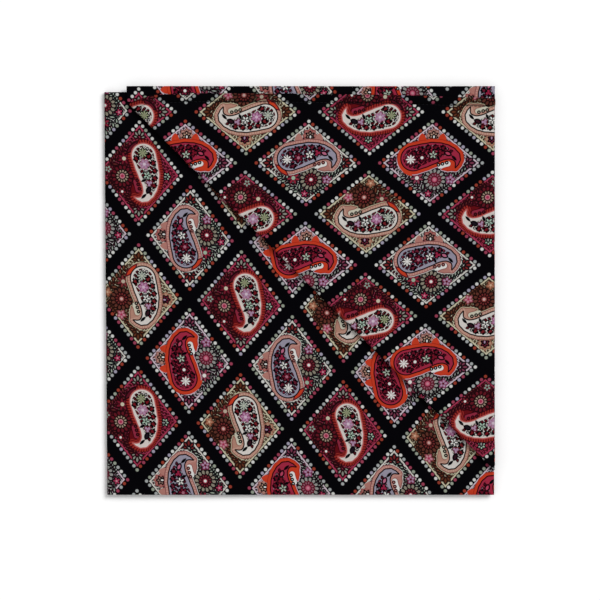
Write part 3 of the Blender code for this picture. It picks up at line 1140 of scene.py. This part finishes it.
def hem_strip(material):
    """The hem: a soft flattened tube of cloth along the flap's top edge.

    Across, it swells as an ellipse does, and its two edges are darker with painted shade. A sine
    puckers its inner edge, with a wave for each stitch.
    """
    outer_x = np.linspace(HEM_LEFT, HEM_RIGHT, HEM_SAMPLES)
    inner_x = np.linspace(FOLD_START_X + HEM_START, HEM_RIGHT, HEM_SAMPLES)
    outer = np.stack([outer_x, flap_edge_y(outer_x) - HEM_EDGE_INSET], -1)
    inner = np.stack([inner_x, flap_edge_y(inner_x) - HEM_WIDTH + HEM_SEAM_INSET], -1)
    across = np.linspace(0, 1, 16)
    plan = between(inner, outer, len(across))
    thick = HEM_EVEN + HEM_SWELL * np.sqrt(1 - (2 * across - 1) ** 2 * 0.9)
    middle = on_ripple(plan, HEM_MIDDLE_Z)
    middle[..., 2] += PUCKER * np.sin(2 * np.pi * plan[..., 0] / STITCH_PITCH) * (1 - across)
    # Painted shade along the hem: deep at its inner edge, in the crease by the seam, and slight at
    # its outer edge.
    dark = 0.5 * near_edge(across, 0.16) + 0.12 * near_edge(1 - across, 0.12)
    return thickened(
        "hem_strip", middle, print_on(plan, *FLAP_PRINT), material,
        thickness=thick, dark=np.broadcast_to(dark, plan.shape[:2]),
    )


def hem_stitches(material):
    """Running stitches along the hem's inner edge, all in one mesh: each a short rod whose ends
    round off and dip with the square of the distance from its middle."""
    start, end = FOLD_START_X + HEM_START + STITCH_MARGIN, RIGHT - STITCH_MARGIN
    count = int((end - start) / STITCH_PITCH)
    centre_x = start + STITCH_PITCH * (np.arange(count) + 0.5)[:, None, None]
    run = np.linspace(-1, 1, THREAD_RINGS)[None, :, None]
    radius = THREAD_RADIUS * np.sqrt(np.clip(1 - run**8, 0.02, 1))
    around = np.linspace(0, 2 * np.pi, THREAD_SIDES, endpoint=False)
    x = centre_x + run * STITCH_LENGTH / 2
    line_y = flap_edge_y(x) - HEM_WIDTH - STITCH_INSET
    line_z = FLAP_TOP_Z - STITCH_INSET - STITCH_DIP * run**2 + ripple(x, line_y)
    y, z = line_y + np.cos(around) * radius, line_z + np.sin(around) * radius
    points = np.stack(np.broadcast_arrays(x, y, z), axis=-1)
    index = np.arange(points.size // 3).reshape(points.shape[:3])
    a, b = index[:, :-1], index[:, 1:]
    sides = np.stack([a, b, np.roll(b, -1, axis=2), np.roll(a, -1, axis=2)], axis=-1)
    faces = sides.reshape(-1, 4).tolist() + index[:, 0].tolist() + index[:, -1, ::-1].tolist()
    return add_piece("hem_stitches", points.reshape(-1, 3), faces, material)


# ------------ floor, light and camera
def pale_floor():
    """A wide white floor just under the cloth, with a hardly visible cloudiness."""
    size, z = 6.0, -0.1 * MM
    mesh = bpy.data.meshes.new("floor")
    corners = [(-size, -size, z), (size, -size, z), (size, size, z), (-size, size, z)]
    mesh.from_pydata(corners, [], [(0, 1, 2, 3)])
    floor = bpy.data.objects.new("floor", mesh)
    bpy.context.scene.collection.objects.link(floor)
    material, shader = new_material("floor", roughness=0.9, specular=0.1, sheen=0.0)
    cloudiness = noise(object_place(material.node_tree), 0.8)
    feed(grey(times_plus(cloudiness, 0.01, 0.985)), shader, "Base Color")
    mesh.materials.append(material)


def soft_light():
    """An even white surround, and a wide light from the upper right."""
    world = bpy.data.worlds.new("surround")
    world.use_nodes = True
    background = world.node_tree.nodes["Background"]
    background.inputs["Color"].default_value = (1.0, 1.0, 1.0, 1.0)
    background.inputs["Strength"].default_value = 0.60
    bpy.context.scene.world = world

    key = bpy.data.lights.new("key", "SUN")
    key.angle = math.radians(30)
    key.energy = 2.2
    lamp = bpy.data.objects.new("key", key)
    azimuth, elevation = math.radians(40), math.radians(40)
    flat = math.cos(elevation)
    towards = Vector((flat * math.cos(azimuth), flat * math.sin(azimuth), math.sin(elevation)))
    lamp.rotation_euler = towards.to_track_quat("Z", "Y").to_euler()
    lamp.location = towards
    bpy.context.scene.collection.objects.link(lamp)


def camera_overhead():
    """The camera looks straight down, and its picture has the photograph's 0.69 mm a pixel."""
    camera = bpy.data.cameras.new("camera")
    height, middle = 2.4, PICTURE_SIZE / 2
    camera.sensor_width = 36.0
    camera.lens = camera.sensor_width * height / (PICTURE_SIZE * UNIT)
    camera.clip_start, camera.clip_end = 0.05, 50.0
    view = bpy.data.objects.new("camera", camera)
    x, y = (middle - PICTURE_X) * UNIT, (PICTURE_Y - middle) * UNIT
    view.location = (x, y, height + 5 * MM)
    bpy.context.scene.collection.objects.link(view)
    bpy.context.scene.camera = view
    bpy.context.scene.view_settings.view_transform = "Standard"
    bpy.context.scene.view_settings.look = "None"


cloth_print = print_group()
printed = cotton("printed_cotton", cloth_print, CLOTH_SHADE)
# The hem's cotton is the same print made darker: painted shade along the flap's top edge.
hem_cotton = cotton("hem_cotton", cloth_print, HEM_PAINTED_SHADE)
thread = thread_material()

lower = lower_cloth(printed)
inner = inner_cloth(printed)
upper, second = upper_cloth(printed)
flap = flap_cloth(printed)
lining = flap_lining(printed)
hem = hem_strip(hem_cotton)
stitches = hem_stitches(thread)

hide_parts("lower_ply", "hidden_plies")
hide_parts("hidden_plies")
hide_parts("upper_ply")
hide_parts("upper_ply")
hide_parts("turned_flap")
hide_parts("turned_flap")
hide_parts("flap_hem")

pale_floor()
soft_light()
camera_overhead()
